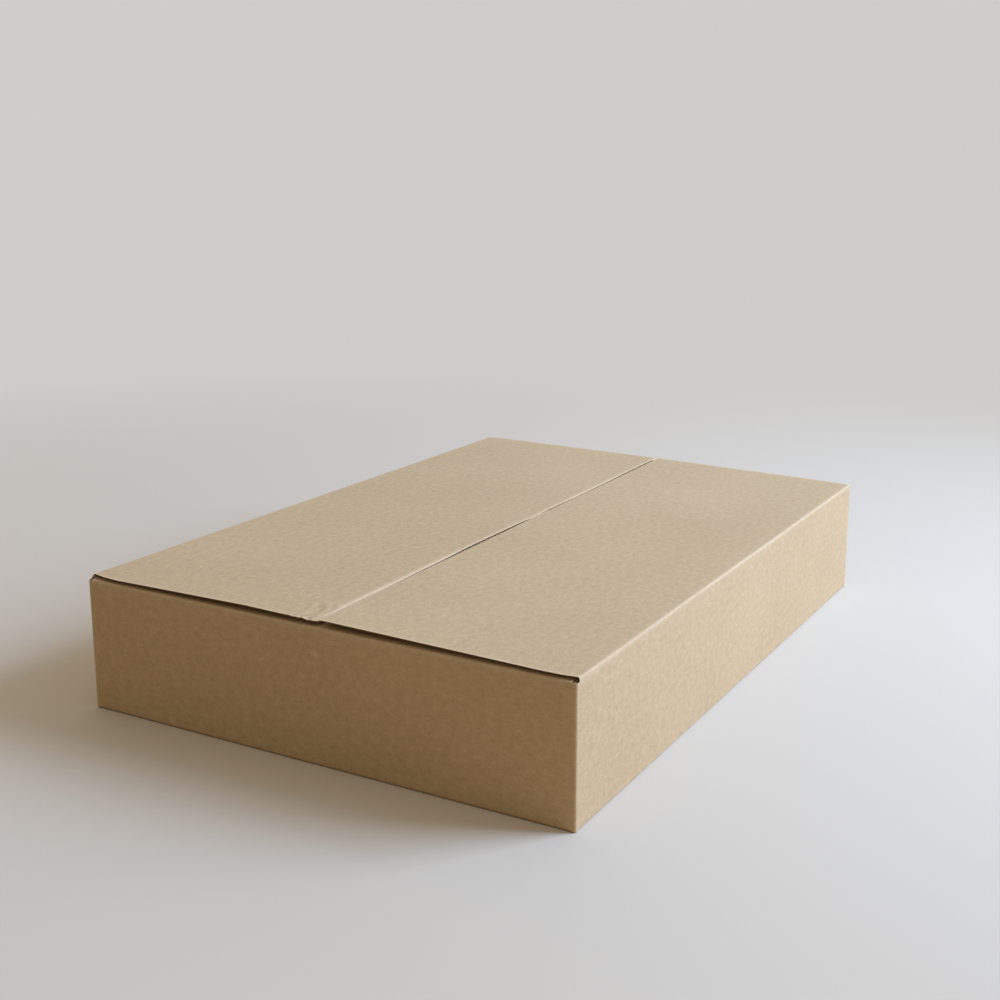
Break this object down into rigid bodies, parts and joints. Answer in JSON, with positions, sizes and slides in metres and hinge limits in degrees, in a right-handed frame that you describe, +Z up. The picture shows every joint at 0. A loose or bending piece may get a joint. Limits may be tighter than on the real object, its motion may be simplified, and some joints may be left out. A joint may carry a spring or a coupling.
{
  "type": "shallow corrugated cardboard carton",
  "caption": "Shallow rectangular shipping carton folded from brown corrugated board, closed by hinged top flaps that meet along a lengthwise seam.",
  "frame": {"origin": "middle of the underside, on the surface that the carton stands on", "axes": "+X across the width to the right, +Y along the length away from the end panel that the picture shows, +Z up"},
  "size_m": [0.31, 0.48, 0.0822],
  "materials": {
    "kraft_board": "matt unprinted brown kraft liner"
  },
  "bodies": {
    "carton": {"carton_body": "kraft_board"},
    "left_flap": {"left_top_flap": "kraft_board"},
    "right_flap": {"right_top_flap": "kraft_board"}
  },
  "joints": [
    {"name": "left_flap_crease", "type": "hinge", "parent": "carton", "child": "left_flap", "pos_m": [-0.15466, 0, 0.07966], "axis": [0, -1, 0], "range_deg": [0, 205]},
    {"name": "right_flap_crease", "type": "hinge", "parent": "carton", "child": "right_flap", "pos_m": [0.15466, 0, 0.07966], "axis": [0, 1, 0], "range_deg": [0, 205]}
  ]
}
